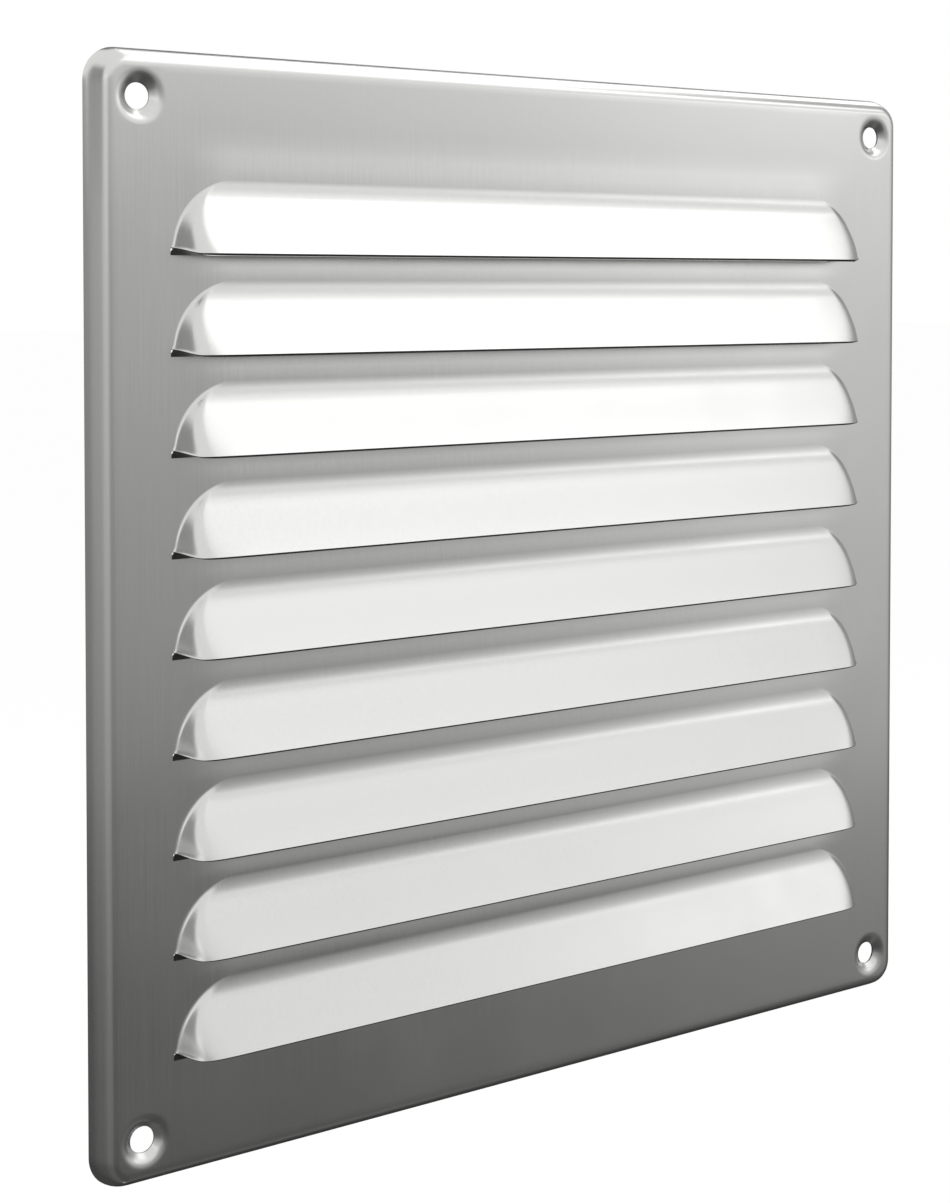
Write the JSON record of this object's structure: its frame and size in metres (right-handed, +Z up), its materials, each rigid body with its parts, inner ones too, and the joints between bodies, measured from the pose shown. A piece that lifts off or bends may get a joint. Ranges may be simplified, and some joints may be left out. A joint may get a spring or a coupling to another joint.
{
  "type": "ventilation grille",
  "caption": "Square one-piece louvred ventilation grille pressed from stainless sheet, with hooded slots, a folded-back rim and a dimpled screw hole in each corner.",
  "frame": {"origin": "middle of the wall plane, which the open edge of the folded rim touches", "axes": "+X across the width, +Y into the wall, +Z up; the louvres face -Y"},
  "size_m": [0.2, 0.0103, 0.2],
  "materials": {
    "stainless_sheet": "brushed with a faint vertical grain"
  },
  "bodies": {
    "root": {"louvre_plate": "stainless_sheet"}
  },
  "joints": []
}
